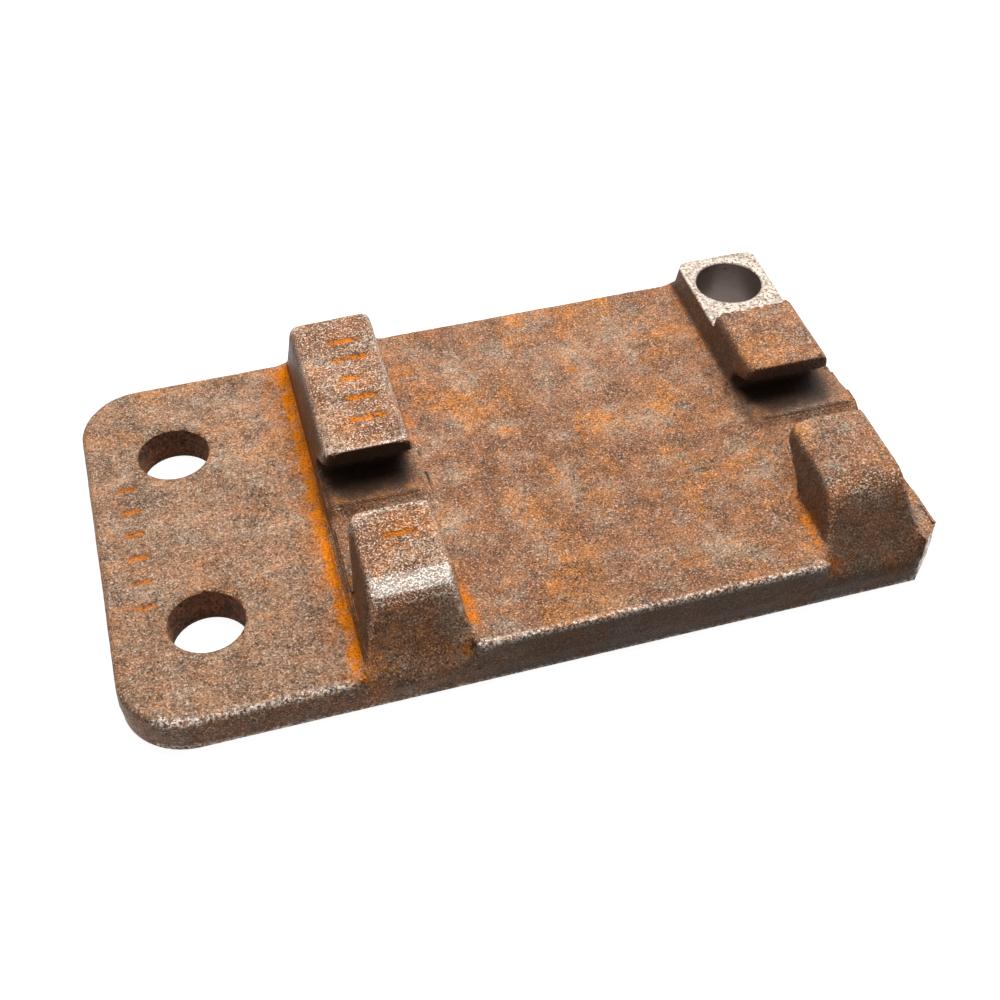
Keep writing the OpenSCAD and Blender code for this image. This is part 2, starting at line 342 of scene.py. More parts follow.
def sand_grain_group():
    """The grain a sand mould leaves: bumps, bright specks that are painted glints, dark pits
    and the uneven tone that they give the skin."""
    group, n, (given, out) = new_group(
        "Sand grain",
        (("Grain Size", VALUE, 0.001), ("Exposed", VALUE, 0.0)),
        (("Height", VALUE), ("Glint Specks", VALUE), ("Pits", VALUE), ("Tone", VALUE)),
    )
    spot = n.place()
    scale = n.maths("DIVIDE", 1.0, given["Grain Size"])
    fine = n.noise(spot, scale, 2.0, 0.6)
    broad = n.noise(spot, n.maths("MULTIPLY", scale, 0.30), 3.0, 0.65)
    patch = n.noise(spot, n.maths("MULTIPLY", scale, 0.05), 5.0, 0.65)
    height = n.maths("ADD", n.maths("MULTIPLY", fine, 0.6), n.maths("MULTIPLY", broad, 0.4))
    n.link(height, out["Height"])
    low = n.maths("SUBTRACT", 0.60, n.maths("MULTIPLY", given["Exposed"], 0.10))
    n.link(n.ramp(fine, low, n.maths("ADD", low, 0.06)), out["Glint Specks"])
    deep = n.maths("SUBTRACT", 0.55, n.maths("MULTIPLY", given["Exposed"], 0.13))
    pits = n.ramp(n.maths("SUBTRACT", 1.0, fine), deep, n.maths("ADD", deep, 0.15))
    n.link(pits, out["Pits"])
    tone = n.maths("MULTIPLY", n.maths("SUBTRACT", fine, 0.5), 3.0)
    tone = n.maths("ADD", tone, n.maths("MULTIPLY", n.maths("SUBTRACT", broad, 0.5), 1.7))
    tone = n.maths("ADD", tone, n.maths("MULTIPLY", n.maths("SUBTRACT", patch, 0.5), 2.2))
    n.link(n.maths("MAXIMUM", n.maths("ADD", tone, 1.0), 0.25), out["Tone"])
    return group


def edge_wear_group():
    """How far an outer edge has been rubbed bright, partly a painted highlight, broken up by
    the grain.
    """
    group, n, (given, out) = new_group(
        "Edge wear",
        (("Amount", VALUE, 0.5), ("Patch Size", VALUE, 0.004)),
        (("Mask", VALUE),),
    )
    scale = n.maths("DIVIDE", 1.0, given["Patch Size"])
    broken = n.noise(n.place(), scale, 5.0, 0.7)
    rim = n.attribute("rim")
    edge_wear_and_highlight = n.maths("MULTIPLY", n.ramp(rim, 0.35, 0.95), n.ramp(broken, 0.44, 0.60))
    n.link(n.maths("MULTIPLY", edge_wear_and_highlight, given["Amount"], clamp=True), out["Mask"])
    return group


def gathered_rust_group():
    """Where fresh rust gathers: in hollows, fillets and the foundry marks."""
    group, n, (given, out) = new_group(
        "Gathered rust",
        (("Amount", VALUE, 1.0), ("Patch Size", VALUE, 0.006)),
        (("Mask", VALUE),),
    )
    scale = n.maths("DIVIDE", 1.0, given["Patch Size"])
    broken = n.ramp(n.noise(n.place(), scale, 5.0, 0.65), 0.30, 0.60)
    ragged = n.maths("MULTIPLY", n.maths("SUBTRACT", broken, 0.6), 0.35)
    hollow = n.maths("ADD", n.attribute("hollow"), ragged)
    spread = n.maths("ADD", n.maths("MULTIPLY", broken, 0.6), 0.45)
    gathered = n.maths("MULTIPLY", n.ramp(hollow, -0.05, 0.95), spread)
    filled = n.ramp(n.noise(n.place(), 420.0, 3.0, 0.6), 0.36, 0.50)
    marks = n.maths("MULTIPLY", n.attribute("mark"), n.maths("MULTIPLY", filled, 0.85))
    total = n.maths("MAXIMUM", gathered, marks)
    n.link(n.maths("MULTIPLY", total, given["Amount"], clamp=True), out["Mask"])
    return group


def place_group(n, group, **values):
    """A placed group with its own values."""
    node = n.add("Group", node_tree=group)
    for key, value in values.items():
        socket = node.inputs[key.replace("_", " ")]
        if isinstance(value, bpy.types.NodeSocket):
            n.link(value, socket)
        elif socket.type == "RGBA":
            socket.default_value = (*value, 1.0)
        else:
            socket.default_value = value
    return node.outputs


def new_material(name):
    material = bpy.data.materials.new(name)
    material.use_nodes = True
    tree = material.node_tree
    tree.nodes.clear()
    n = Nodes(tree)
    shader = n.add("BsdfPrincipled")
    out = n.add("OutputMaterial")
    n.link(shader.outputs["BSDF"], out.inputs["Surface"])
    return material, n, shader.inputs


def bump(n, height, distance, strength):
    node = n.add("Bump")
    node.inputs["Strength"].default_value = strength
    node.inputs["Distance"].default_value = distance
    n.link(height, node.inputs["Height"])
    return node.outputs["Normal"]


# ---------------------------------------------------------------- finishes


def cast_skin(look, groups):
    """Rusted cast skin, with painted shade and painted highlights in its colour."""
    material, n, shader = new_material("cast_skin")
    rust = place_group(
        n, groups["rust"], Umber=look.umber, Ochre=look.ochre, Ash=look.ash,
        Patch_Size=0.024, Ochre_Share=0.42,
    )
    top_wear_and_highlight = n.attribute("top_wear_and_highlight")
    sand = place_group(n, groups["sand"], Grain_Size=look.grain, Exposed=top_wear_and_highlight)
    edge_wear_and_highlight = place_group(n, groups["edge_wear_and_highlight"], Amount=0.8, Patch_Size=0.0011)["Mask"]
    fresh = place_group(n, groups["fresh"], Amount=1.0, Patch_Size=0.006)["Mask"]
    tone = n.blend(n.maths("MULTIPLY", n.attribute("pale"), 0.4), rust["Color"], look.ash)
    tone = n.blend(1.0, tone, sand["Tone"], mode="MULTIPLY")
    deep = n.maths("ADD", 0.65, n.maths("MULTIPLY", top_wear_and_highlight, 0.6), clamp=True)
    tone = n.blend(n.maths("MULTIPLY", sand["Pits"], deep), tone, look.soot_and_shade)
    # Painted glints and a painted highlight: bright grain specks and the band on the first
    # hook's bend turn towards the metal colour
    shown = n.maths("ADD", 0.42, n.maths("MULTIPLY", top_wear_and_highlight, 0.75))
    glints_and_highlight = n.maths("MULTIPLY", sand["Glint Specks"], shown, clamp=True)
    sheen = n.maths("MULTIPLY", n.ramp(top_wear_and_highlight, 0.35, 1.0), 0.50)
    glints_and_highlight = n.maths("MAXIMUM", glints_and_highlight, sheen)
    tone = n.blend(glints_and_highlight, tone, look.metal_and_highlight)
    flame = n.blend(n.maths("MULTIPLY", sand["Pits"], 0.6), look.flame, (0.09, 0.022, 0.003))
    flame = n.blend(0.45, flame, sand["Tone"], mode="MULTIPLY")
    tone = n.blend(n.maths("MULTIPLY", n.attribute("mark"), 0.6), tone, look.soot_and_shade)
    tone = n.blend(fresh, tone, flame)
    # Painted shade: channels, noses' front faces and faces turned from the light darken
    # towards the dark colour
    painted_shade = n.attribute("painted_shade")
    tone = n.blend(n.maths("MULTIPLY", painted_shade, 0.93), tone, look.soot_and_shade)
    # Rubbed edges turn towards the metal colour, partly as a painted highlight
    tone = n.blend(edge_wear_and_highlight, tone, look.metal_and_highlight)
    n.link(tone, shader["Base Color"])
    dry = n.maths("MAXIMUM", fresh, n.maths("MULTIPLY", rust["Patches"], 0.5))
    bare = n.maths("SUBTRACT", 1.0, n.maths("MAXIMUM", fresh, painted_shade), clamp=True)
    n.link(n.maths("ADD", 0.40, n.maths("MULTIPLY", dry, 0.40)), shader["Roughness"])
    iron = n.maths("ADD", n.maths("MULTIPLY", glints_and_highlight, 0.6), n.maths("MULTIPLY", edge_wear_and_highlight, 0.75))
    iron = n.maths("MAXIMUM", iron, n.maths("MULTIPLY", top_wear_and_highlight, 0.3))
    n.link(n.maths("MULTIPLY", iron, bare, clamp=True), shader["Metallic"])
    shader["Specular IOR Level"].default_value = 0.18
    n.link(bump(n, sand["Height"], 0.0011, 1.0), shader["Normal"])
    return material


def cut_iron(look, groups, name, grain, dark, stretched, scored, sheen):
    """Bare iron left by a cutter or a saw: grain size, how dark its pits and
    scores are, how the scores are stretched, and how much metal shows."""
    material, n, shader = new_material(name)
    sand = place_group(n, groups["sand"], Grain_Size=grain)
    spot = n.place()
    stretch = n.add("Mapping")
    stretch.inputs["Scale"].default_value = stretched
    n.link(spot, stretch.inputs["Vector"])
    lines = n.noise(stretch.outputs["Vector"], 260.0, 4.0, 0.6)
    stain = n.ramp(n.noise(spot, 800.0, 5.0, 0.7), 0.49, 0.60)
    tone = n.blend(n.maths("MULTIPLY", stain, 0.95), look.milled, (0.30, 0.135, 0.06))
    tone = n.blend(n.maths("MULTIPLY", sand["Pits"], dark), tone, (0.08, 0.045, 0.03))
    scores = n.maths("MULTIPLY", n.ramp(lines, 0.50, 0.58), scored)
    tone = n.blend(scores, tone, look.soot_and_shade)
    n.link(tone, shader["Base Color"])
    n.link(n.maths("ADD", 0.36, n.maths("MULTIPLY", stain, 0.3)), shader["Roughness"])
    clean = n.maths("SUBTRACT", 1.0, n.maths("MAXIMUM", stain, scores))
    n.link(n.maths("MULTIPLY", sheen, clean), shader["Metallic"])
    shader["Specular IOR Level"].default_value = 0.02
    grit = n.maths("MULTIPLY", sand["Height"], 0.3)
    height = n.maths("ADD", n.maths("MULTIPLY", lines, 0.7), grit)
    n.link(bump(n, height, 0.00025, 0.7), shader["Normal"])
    return material


def drilled_wall(look, groups):
    """Smooth dark wall of the drilled hole, with a few torn pits."""
    material, n, shader = new_material("drilled_wall")
    spot = n.place()
    stretch = n.add("Mapping")
    stretch.inputs["Scale"].default_value = (1.0, 1.0, 9.0)
    n.link(spot, stretch.inputs["Vector"])
    rings = n.noise(stretch.outputs["Vector"], 160.0, 3.0, 0.5)
    torn = n.ramp(n.noise(spot, 120.0, 5.0, 0.7), 0.60, 0.66)
    tone = n.blend(n.maths("MULTIPLY", rings, 0.5), look.bore, (0.22, 0.185, 0.17))
    tone = n.blend(torn, tone, (0.012, 0.009, 0.008))
    n.link(tone, shader["Base Color"])
    n.link(n.maths("ADD", 0.34, n.maths("MULTIPLY", torn, 0.4)), shader["Roughness"])
    n.link(n.maths("SUBTRACT", 0.5, n.maths("MULTIPLY", torn, 0.5)), shader["Metallic"])
    height = n.maths("SUBTRACT", n.maths("MULTIPLY", rings, 0.4), torn)
    n.link(bump(n, height, 0.0004, 0.6), shader["Normal"])
    return material


def spiked_wall(look, groups):
    """Dark rusty wall of a spike hole."""
    material, n, shader = new_material("spike_hole_wall")
    rust = place_group(
        n, groups["rust"], Umber=(0.36, 0.165, 0.090), Ochre=(0.52, 0.20, 0.06),
        Ash=(0.12, 0.070, 0.050), Patch_Size=0.010, Ochre_Share=0.30,
    )
    sand = place_group(n, groups["sand"], Grain_Size=0.0012)
    tone = n.blend(1.0, rust["Color"], sand["Tone"], mode="MULTIPLY")
    tone = n.blend(n.maths("MULTIPLY", sand["Pits"], 0.8), tone, look.soot_and_shade)
    n.link(tone, shader["Base Color"])
    shader["Specular IOR Level"].default_value = 0.15
    rough = n.maths("ADD", 0.72, n.maths("MULTIPLY", rust["Patches"], 0.2))
    n.link(rough, shader["Roughness"])
    n.link(bump(n, sand["Height"], 0.0007, 0.9), shader["Normal"])
    return material


# ---------------------------------------------------------------- the skin

SKIN, MILLED, SAWN, HOOK_BORE, SPIKE_BORE = range(5)


def slice_between(bm, faces, axis, cuts):
    """Cuts the faces by the planes at cuts along one axis, by halves."""
    if not cuts or not faces:
        return
    middle = len(cuts) // 2
    at = cuts[middle]
    edges = dict.fromkeys(e for f in faces for e in f.edges)
    verts = dict.fromkeys(v for e in edges for v in e.verts)
    span = [v.co[axis] for v in verts]
    if min(span) < at < max(span):
        point, normal = [0.0] * 3, [0.0] * 3
        point[axis], normal[axis] = at, 1.0
        done = bmesh.ops.bisect_plane(
            bm, geom=[*verts, *edges, *faces], dist=2e-6,
            plane_co=point, plane_no=normal,
        )
        faces = [g for g in done["geom"] if isinstance(g, bmesh.types.BMFace)]
    low = [f for f in faces if f.calc_center_bounds()[axis] < at]
    high = [f for f in faces if f.calc_center_bounds()[axis] >= at]
    slice_between(bm, low, axis, cuts[:middle])
    slice_between(bm, high, axis, cuts[middle + 1:])


def grid_cuts(low, high, step, offset):
    first = low + step * offset
    return [first + i * step for i in range(int((high - first) / step) + 1)]


def foundry_marks():
    """Plain sunk bars: (x, y, half length, half width) in millimetres."""
    edge = [(15.2, 57.0 + 12.6 * i, 2.6, 1.25) for i in range(6)]
    rear_top = [(109.0 + 0.02 * y, y, 6.0, 1.5) for y in (110.0, 122.5, 147.0, 158.5)]
    return [*edge, *rear_top, (109.5, 134.8, 2.4, 1.5), (108.6, 45.5, 5.2, 1.2)]


def level_floors(bm):
    """Brings the relieved floor in front of the pads up to the rail seat: the
    casting shows no step there."""
    for v in bm.verts:
        x, y, z = spot_of(v.co)
        in_channel = CHANNEL_Y[0] < y < CHANNEL_Y[1] and any(
            x0 - 6 < x < x1 + 2 for x0, x1, _ in PADS
        )
        if in_channel and abs(z - FLOOR_Z) < 0.05:
            v.co.z = LOW.z + SEAT_Z * MM
    bmesh.ops.remove_doubles(bm, verts=bm.verts[:], dist=TOUCHING)


def top_faces(bm, low, high):
    """Faces that look up between the corners low and high."""
    found = []
    for f in bm.faces:
        centre = f.calc_center_bounds()
        level = f.normal.z > 0.95 and low.z < centre.z
        if level and low.x < centre.x < high.x and low.y < centre.y < high.y:
            found.append(f)
    return found


def skin_mesh(source, look):
    """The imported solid's surface on a fine grid, as a bmesh."""
    bm = bmesh.new()
    bm.from_mesh(source.data)
    bmesh.ops.remove_doubles(bm, verts=bm.verts[:], dist=1e-6)
    level_floors(bm)
    bmesh.ops.dissolve_limit(
        bm, angle_limit=math.radians(0.3), verts=bm.verts[:], edges=bm.edges[:],
    )
    for axis, offset in ((0, 0.37), (1, 0.43), (2, 0.61)):
        cuts = grid_cuts(LOW[axis], HIGH[axis], look.facet, offset)
        slice_between(bm, bm.faces[:], axis, cuts)
    for x0, x1, y0, y1, z0 in MARK_ZONES:
        low, high = place(x0, y0, z0), place(x1, y1)
        for axis in (0, 1):
            cuts = grid_cuts(low[axis], high[axis], look.fine_facet, 0.29)
            slice_between(bm, top_faces(bm, low, high), axis, cuts)
    bmesh.ops.dissolve_degenerate(bm, dist=2e-6, edges=bm.edges[:])
    bmesh.ops.triangulate(bm, faces=bm.faces[:])
    return bm


def finish_of(face):
    """Which finish a face of the solid has."""
    d = face.normal
    x, y, z = spot_of(face.calc_center_median())
    reach = BORE_R + 0.35
    if abs(d.z) < 0.2:
        if any(math.hypot(x - a, y - b) < reach for a, b in SPIKE_HOLES):
            return SPIKE_BORE
        if math.hypot(x - HOOK_HOLE[0], y - HOOK_HOLE[1]) < reach:
            return HOOK_BORE
    on_hook = SECOND_SHOULDER[0] - 1 < x < SECOND_SHOULDER[1] + 1
    if on_hook and y > MILLED_Y - 0.3 and z > MILLED_Z - 1.0:
        if d.z > 0.6 or d.y < -0.9 or (d.y > 0.95 and y < MILLED_Y + 0.3):
            return MILLED
    if d.x > 0.5 and d.y < -0.5 and abs(d.z) < 0.1 and y < SAWN_Y:
        return SAWN
    return SKIN


def surface_samples(bm, keep):
    """Points spread over the kept faces, with their share of the area."""
    points, areas = [], []
    for f in bm.faces:
        if keep(f):
            a, b, c = (v.co for v in f.verts)
            quarter = f.calc_area() / 4
            ab, bc, ca = (a + b) / 2, (b + c) / 2, (c + a) / 2
            for tri in ((a, ab, ca), (ab, b, bc), (ca, bc, c), (ab, bc, ca)):
                points.append((tri[0] + tri[1] + tri[2]) / 3)
                areas.append(quarter)
    tree = kdtree.KDTree(len(points))
    for i, p in enumerate(points):
        tree.insert(p, i)
    tree.balance()
    return tree, points, areas


def soften_edges(bm, look, cut_faces):
    """Rounds the sharp cast edges a little; cut surfaces keep theirs."""
    sharp = math.radians(24)
    fixed = {v for f in cut_faces for v in f.verts}
    ends = dict.fromkeys(
        v for e in bm.edges
        if len(e.link_faces) == 2 and e.calc_face_angle() > sharp
        for v in e.verts
    )
    hard = [v for v in ends if v not in fixed and v.co.z > LOW.z + TOUCHING]
    near = kdtree.KDTree(len(hard))
    for i, v in enumerate(hard):
        near.insert(v.co, i)
    near.balance()
    blunt = [place(*spot) for spot in BLUNT_CORNERS]

    def reach_at(co):
        x, y, z = spot_of(co)
        rear = NOSE_Y if x < OUTER_FOOT_X else CHANNEL_Y[1]
        in_channel = any(a - 4 < x < b + 4 for a, b in CHANNELS)
        if in_channel and z < OVER_PADS_Z and CHANNEL_Y[0] < y < rear:
            return look.softening * 2.4
        far = min((co - spot).length for spot in blunt)
        return look.softening * (1.0 + 1.9 * max(0.0, 1.0 - far / (9 * MM)))

    close = [
        v for v in bm.verts
        if v not in fixed and v.co.z > LOW.z + TOUCHING
        and near.find(v.co)[2] < reach_at(v.co)
    ]
    tree, points, areas = surface_samples(
        bm, lambda f: near.find(f.calc_center_median())[2] < look.softening * 5.5
    )
    moved = {}
    for v in close:
        total, mean = 0.0, Vector()
        for _, i, _ in tree.find_range(v.co, reach_at(v.co)):
            mean += points[i] * areas[i]
            total += areas[i]
        if total > 0:
            mean /= total
            moved[v] = v.normal * (mean - v.co).dot(v.normal)
    for v, shift in moved.items():
        v.co += shift


def ease_pads(bm):
    """Leans the pads' front and inner ends, so they rise as soft ramps."""
    for v in bm.verts:
        x, y, z = spot_of(v.co)
        if not FLOOR_Z - 1.2 < z < PAD_TOP_Z + 0.2 or y > NOSE_Y + 13:
            continue
        low = 1 - climb(z, FLOOR_Z, PAD_TOP_Z - 0.4)
        front = climb(y, PAD_FRONT - 9.3, PAD_FRONT - 0.3)
        front *= 1 - climb(y, PAD_FRONT + 0.3, PAD_FRONT + 6.3)
        for x0, x1, inner in PADS:
            along = climb(x, x0 - 6.2, x0 - 0.2) * (1 - climb(x, x1 + 0.2, x1 + 6.2))
            v.co.y -= PAD_FRONT_LEAN * MM * low * along * eased(front)
            beyond = (x - x1) if inner > 0 else (x0 - x)
            if beyond > -0.4:
                end = 1 - climb(beyond, 0.2, 7.7)
                end *= climb(y, PAD_FRONT - 6, PAD_FRONT)
                v.co.x += inner * PAD_END_LEAN * MM * low * eased(end)


def hollows_and_rims(bm):
    """For each vertex, above 0 in a hollow and below 0 on an outer edge."""
    tree = kdtree.KDTree(len(bm.faces))
    areas, centres = [], []
    for i, f in enumerate(bm.faces):
        centre = f.calc_center_median()
        centres.append(centre)
        areas.append(f.calc_area())
        tree.insert(centre, i)
    tree.balance()
    bend = []
    for v in bm.verts:
        total, mean = 1e-12, Vector()
        for _, i, _ in tree.find_range(v.co, BEND_REACH):
            mean += (centres[i] - v.co) * areas[i]
            total += areas[i]
        bend.append(mean.dot(v.normal) / (total * BEND_REACH))
    return np.array(bend)


def ray_fan(count):
    """Directions spread evenly over the upper half of a ball."""
    golden = math.pi * (3 - math.sqrt(5))
    fan = []
    for i in range(count):
        up = 1 - (i + 0.5) / count
        side = math.sqrt(1 - up * up)
        fan.append(Vector((side * math.cos(i * golden), side * math.sin(i * golden), up)))
    return fan


def painted_channel_shade(bm):
    """For each vertex in the channels, how much of its sky is shut out: painted shade for
    the colour.
    """
    tree = BVHTree.FromBMesh(bm)
    fan = ray_fan(24)
    shade = [0.0] * len(bm.verts)
    for v in bm.verts:
        x, y, z = spot_of(v.co)
        inside = max(min(x - a, b - x) for a, b in CHANNELS)
        in_channel = inside > 0 and CHANNEL_Y[0] < y < CHANNEL_Y[1]
        if z > HOOK_TOP - 2 or not in_channel:
            continue
        turn = v.normal.to_track_quat("Z", "Y")
        start = v.co + v.normal * 0.0004
        hits = (tree.ray_cast(start, turn @ ray, SHADE_REACH)[0] for ray in fan)
        shut = sum(1 for hit in hits if hit is not None) / len(fan)
        fade = min(1.0, inside / 9) * climb(y, 74, 83)
        shade[v.index] = (shut - 0.10) / 0.26 * fade
    return np.clip(shade, 0, 1)


def mark_at(x, y):
    """Depth of the foundry marks at a place, from 0 to 1."""
    deepest = 0.0
    for mark_x, mark_y, half, wide in foundry_marks():
        along = max(0.0, abs(x - mark_x) - half)
        away = math.hypot(along, y - mark_y) / wide
        deepest = max(deepest, eased(1 - climb(away, 0.75, 1.25)))
    return deepest


def in_zone(x, y, z):
    """Whether a place lies in a zone of foundry marks."""
    return any(x0 < x < x1 and y0 < y < y1 and z > z0 for x0, x1, y0, y1, z0 in MARK_ZONES)


def on_burr(x, y, z):
    """Whether a place lies on the ragged edge that the milling cutter left."""
    over = SECOND_SHOULDER[0] - 1 < x < SECOND_SHOULDER[1] + 1
    return over and abs(y - MILLED_Y) < 0.35 and z > HOOK_TOP - 2.2


def shape_skin(bm, look, finishes):
    """Moves the cast skin: waves, foundry marks, the burr beside the cutter.
    Returns how deep each vertex lies in a mark, from 0 to 1."""
    fixed = set()
    for f in bm.faces:
        if finishes[f.index] != SKIN or f.calc_center_median().z < LOW.z + TOUCHING:
            fixed.update(v.index for v in f.verts)
    marks = [0.0] * len(bm.verts)
    bm.normal_update()
    normals = [v.normal.copy() for v in bm.verts]
    for v in bm.verts:
        x, y, z = spot_of(v.co)
        if in_zone(x, y, z) and normals[v.index].z > 0.9:
            depth = mark_at(x, y)
            v.co.z -= depth * look.mark_depth
            on_field = x < MARK_ZONES[0][1]
            marks[v.index] = depth * (0.8 if on_field else 1.0)
        if on_burr(x, y, z):
            spot = Vector((x * 0.45, y * 0.2, z * 0.3))
            v.co.y += BURR_DRAG * MM * noise.noise(spot)
            v.co.z += BURR_LIFT * MM * (noise.noise(spot * 1.7) - 0.3)
            v.co.z = min(HIGH.z, v.co.z)
        if v.index in fixed:
            continue
        spot = Vector((x, y, z))
        wave = 0.55 * noise.noise(spot * 0.055) + 0.45 * noise.noise(spot * 0.21)
        wave += 0.35 * noise.noise(spot * 0.5)
        v.co += normals[v.index] * (look.relief * (wave - 0.35))
        for i in range(3):
            v.co[i] = min(HIGH[i], max(LOW[i], v.co[i]))
    return np.array(marks)


def surface_masks(bm, bend, shade):
    """Masks for the cast skin: hollows where fresh rust gathers, rims and tops rubbed bright
    with painted highlights, painted shade on sheltered faces, and the paler spike field."""
    across, depth, height = np.array([spot_of(v.co) for v in bm.verts]).T
    turned, ahead, facing = np.array([tuple(v.normal) for v in bm.verts]).T
    second = across > CHANNELS[1][0]
    upright = climbs(facing, 0.45, 0.80)
    slope = climbs(-ahead, 0.6, 0.9)

    # Tops of the hooks, a little worn, with a painted highlight brightest where the first
    # one bends into its slope
    off = facing - 0.87
    highlight_band = np.exp(-(off / np.where(off > 0, 0.11, 0.20)) ** 2)
    highlight_band *= climbs(-ahead, 0.0, 0.3) * (depth < 45)
    top_wear_and_highlight = upright * climbs(height, 26, 32) * (0.30 + 0.9 * highlight_band)
    top_wear_and_highlight *= np.where(second, 0.2, 0.9)

    # Fillets: broad along the step, thin at the other feet and fading rearwards
    near_front = 1 - climbs(depth, 6, 16)
    hollow = climbs(bend + 0.03 * near_front, 0.02, 0.12)
    vivid = np.maximum(0.28, 1 - climbs(depth, 22, 46))
    thin = 0.62 * vivid * climbs(hollow, 0.35, 1.0)
    hollow = np.where(across < STEP_X, hollow, thin)
    hollow *= 1 - climbs(across, OUTER_FOOT_X - 10, OUTER_FOOT_X - 6)
    skirt = 1 - climbs(np.abs(across - STEP_X + 6), 0, 16)
    skirt *= (height < FIELD_LIMIT_Z) * upright
    hollow = np.maximum(hollow, 0.32 * skirt)

    # Painted shade: faces turned from the light (left walls, front slopes, front edge), the
    # noses' front faces and the channels
    left_wall_shade = climbs(-turned, 0.55, 0.85) * (height > FIELD_LIMIT_Z)
    slope_shade = np.where(second, 0.84, 0.64)
    front_edge_shade = 0.80 * climbs(across, 90, 150)
    nose_face_shade = slope * (height > 26) * (np.abs(depth - NOSE_Y) < 6)
    painted_shade = np.maximum(shade, 0.78 * left_wall_shade)
    painted_shade = np.maximum(painted_shade, np.where(height > 20, slope_shade, front_edge_shade) * slope)
    painted_shade = np.maximum(painted_shade, nose_face_shade * np.where(second, 0.7, 1.2))

    # Outer edges rubbed bright, partly a painted highlight: most on the hooks and the front
    # edge, none in the channels
    rim = climbs(-bend, 0.05, 0.21)
    rim *= np.where(height > 24, np.where(second, 0.4, 0.75), 0.25)
    front_edge = (depth < 6) & (height < 24)
    rim = np.where(front_edge, rim * 3.6, rim) * (1 - nose_face_shade)
    inside = ((across > 80) & (across < 135)) | (across > 254)
    inside &= (height < OVER_PADS_Z) & (depth > CHANNEL_Y[0]) & (depth < CHANNEL_Y[1])
    rim = np.clip(np.where(inside, 0.0, rim), 0, 1)

    pale = (1 - climbs(across, STEP_X - 18, STEP_X - 4)) * upright
    return {
        "hollow": hollow, "rim": rim, "painted_shade": painted_shade, "top_wear_and_highlight": top_wear_and_highlight, "pale": pale,
    }


def finishes_of_iron(look):
    """The casting's materials, in the order of the finishes."""
    groups = {
        "rust": rust_mottle_group(), "sand": sand_grain_group(),
        "edge_wear_and_highlight": edge_wear_group(), "fresh": gathered_rust_group(),
    }
    milled = cut_iron(
        look, groups, "milled_iron", grain=0.0011, dark=0.55,
        stretched=(1.0, 1.0, 1.0), scored=0.28, sheen=0.15,
    )
    sawn = cut_iron(
        look, groups, "sawn_iron", grain=0.0013, dark=0.85,
        stretched=(1.0, 1.0, 0.8), scored=0.9, sheen=0.8,
    )
    walls = (drilled_wall(look, groups), spiked_wall(look, groups))
    return (cast_skin(look, groups), milled, sawn, *walls)


class TIEPLATE_OT_casting(bpy.types.Operator):
    """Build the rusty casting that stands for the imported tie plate"""

    bl_idname = "tieplate.casting"
    bl_label = "Casting"

    def execute(self, context):
        look = context.scene.tie_plate_casting
        bm = skin_mesh(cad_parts[NODE], look)
        bm.faces.index_update()
        bm.normal_update()
        finishes = [finish_of(f) for f in bm.faces]
        for f in bm.faces:
            f.material_index = finishes[f.index]
        ease_pads(bm)
        soften_edges(bm, look, [f for f in bm.faces if finishes[f.index] != SKIN])
        bm.verts.index_update()
        bm.normal_update()
        bend = hollows_and_rims(bm)
        # Painted shade in the channels under the noses
        shade = painted_channel_shade(bm)
        marks = shape_skin(bm, look, finishes)
        if len(bm.faces) > MAX_FACES:
            raise RuntimeError("the skin has too many faces: raise the facet size")
        masks = surface_masks(bm, bend, shade)
        masks["mark"] = marks
        mesh = bpy.data.meshes.new("rusty_casting")
        bm.to_mesh(mesh)
        bm.free()
        for name, values in masks.items():
            layer = mesh.attributes.new(name, "FLOAT", "POINT")
            layer.data.foreach_set("value", values.astype(np.float32))
        mesh.shade_smooth()
        mesh.set_sharp_from_angle(angle=math.radians(34))
        for material in finishes_of_iron(look):
            mesh.materials.append(material)
        piece = bpy.data.objects.new("rusty_casting", mesh)
        context.scene.collection.objects.link(piece)
        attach(piece, "root")
        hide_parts(NODE)
        return {"FINISHED"}


# ---------------------------------------------------------------- the stage


def area_light(name, where, size, power):
    """A soft light at a place, aimed at the plate."""
    lamp = bpy.data.lights.new(name, "AREA")
    lamp.shape = "RECTANGLE"
    lamp.size, lamp.size_y = size
    lamp.energy = power
    holder = bpy.data.objects.new(name, lamp)
    holder.location = where
    holder.rotation_euler = (-Vector(where)).to_track_quat("-Z", "Y").to_euler()
    bpy.context.scene.collection.objects.link(holder)


def floor_material(tone):
    """Pale floor: shows white, and keeps a soft shadow."""
    material = bpy.data.materials.new("studio_floor")
    material.use_nodes = True
    tree = material.node_tree
    tree.nodes.clear()
    n = Nodes(tree)
    base = n.add("BsdfDiffuse")
    base.inputs["Color"].default_value = (*tone, 1.0)
    glow = n.add("Emission")
    glow.inputs["Color"].default_value = (1.0, 1.0, 1.0, 1.0)
    n.link(n.maths("MULTIPLY", n.seen_white(), FLOOR_GLOW), glow.inputs["Strength"])
    both = n.add("AddShader")
    n.link(base.outputs[0], both.inputs[0])
    n.link(glow.outputs[0], both.inputs[1])
    out = n.add("OutputMaterial")
    n.link(both.outputs[0], out.inputs["Surface"])
    return material


def room_world(sky):
    """Plain room: looks white, and lights the plate by sky alone."""
    world = bpy.data.worlds.new("studio_room")
    world.use_nodes = True
    tree = world.node_tree
    tree.nodes.clear()
    n = Nodes(tree)
    room = n.add("Background")
    room.inputs["Color"].default_value = (1.0, 1.0, 1.0, 1.0)
    gap = n.maths("MULTIPLY", n.seen_white(), 1.0 - sky)
    n.link(n.maths("ADD", gap, sky), room.inputs["Strength"])
    out = n.add("OutputWorld")
    n.link(room.outputs[0], out.inputs["Surface"])
    return world


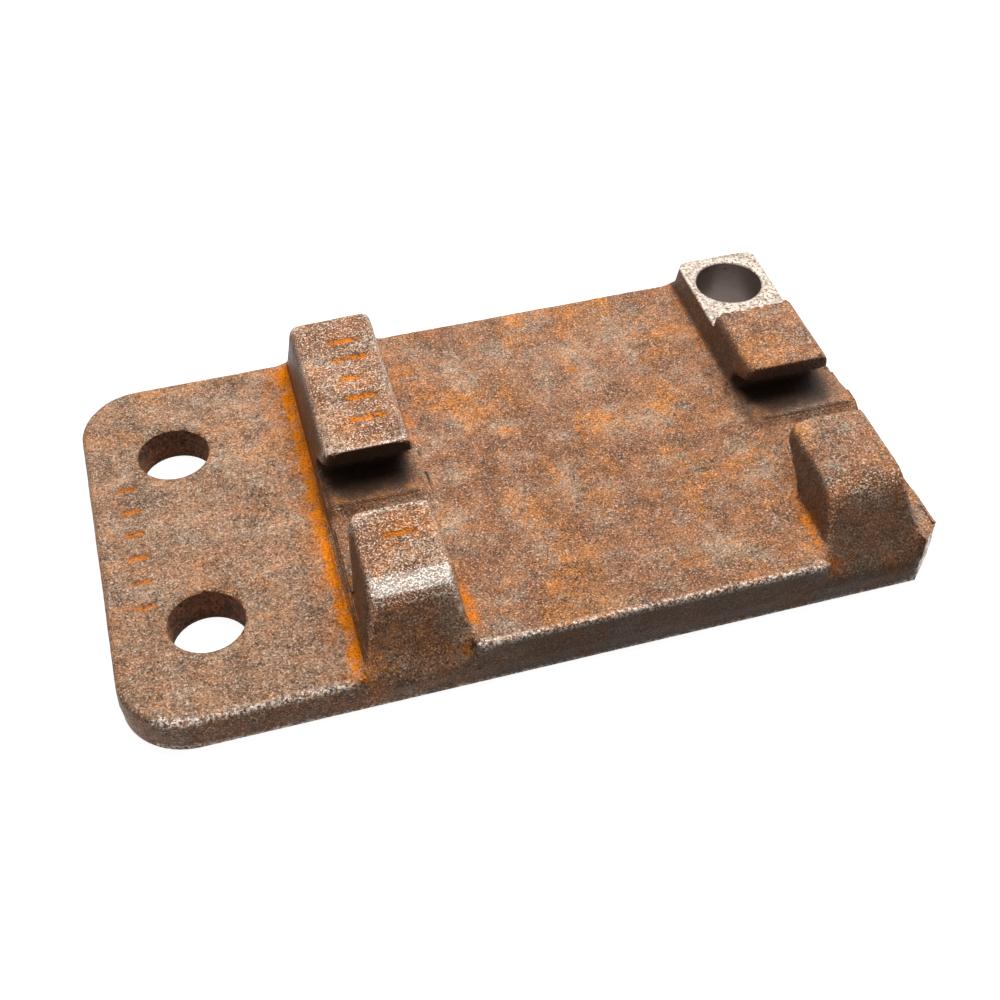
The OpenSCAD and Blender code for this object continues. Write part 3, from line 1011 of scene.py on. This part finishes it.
def studio_floor(tone):
    """A round floor just under the plate."""
    bm = bmesh.new()
    bmesh.ops.create_circle(bm, cap_ends=True, segments=96, radius=FLOOR_R)
    mesh = bpy.data.meshes.new("studio_floor")
    bm.to_mesh(mesh)
    bm.free()
    mesh.materials.append(floor_material(tone))
    floor = bpy.data.objects.new("studio_floor", mesh)
    floor.location.z = LOW.z - FLOOR_GAP
    return floor


def studio_camera(focal_length):
    lens = bpy.data.cameras.new("studio_camera")
    lens.sensor_width = SENSOR_WIDTH
    lens.lens = focal_length
    lens.clip_start = 0.01
    camera = bpy.data.objects.new("studio_camera", lens)
    camera.location = CAMERA_AT
    camera.rotation_euler = Euler([math.radians(a) for a in CAMERA_TURN], "XYZ")
    return camera


class TIEPLATE_OT_studio(bpy.types.Operator):
    """Build the floor, the lights, the room and the camera"""

    bl_idname = "tieplate.studio"
    bl_label = "Studio"

    def execute(self, context):
        look = context.scene.tie_plate_studio
        scene = context.scene
        floor = studio_floor(look.floor_tone)
        scene.collection.objects.link(floor)
        area_light("key_light", *KEY_LIGHT, look.key_power)
        area_light("side_light", *SIDE_LIGHT, look.side_power)
        scene.world = room_world(look.sky)
        camera = studio_camera(look.lens)
        scene.collection.objects.link(camera)
        scene.camera = camera
        scene.view_settings.view_transform = "Standard"
        return {"FINISHED"}


# ---------------------------------------------------------------- add-on


class TIEPLATE_PT_panel(bpy.types.Panel):
    """Lists the steps and their settings."""

    bl_idname = "TIEPLATE_PT_panel"
    bl_label = "Rail tie plate"
    bl_space_type = "VIEW_3D"
    bl_region_type = "UI"
    bl_category = "Tie plate"

    def draw(self, context):
        steps = (
            (TIEPLATE_OT_casting, context.scene.tie_plate_casting),
            (TIEPLATE_OT_studio, context.scene.tie_plate_studio),
        )
        for step, look in steps:
            box = self.layout.box()
            for key in look.__annotations__:
                box.prop(look, key)
            box.operator(step.bl_idname)


CLASSES = (
    CastingSettings, StudioSettings,
    TIEPLATE_OT_casting, TIEPLATE_OT_studio, TIEPLATE_PT_panel,
)


def register():
    for cls in CLASSES:
        bpy.utils.register_class(cls)
    bpy.types.Scene.tie_plate_casting = PointerProperty(type=CastingSettings)
    bpy.types.Scene.tie_plate_studio = PointerProperty(type=StudioSettings)


def unregister():
    del bpy.types.Scene.tie_plate_studio
    del bpy.types.Scene.tie_plate_casting
    for cls in reversed(CLASSES):
        bpy.utils.unregister_class(cls)


def main():
    register()
    bpy.ops.tieplate.casting()
    bpy.ops.tieplate.studio()


if __name__ == "__main__":
    main()
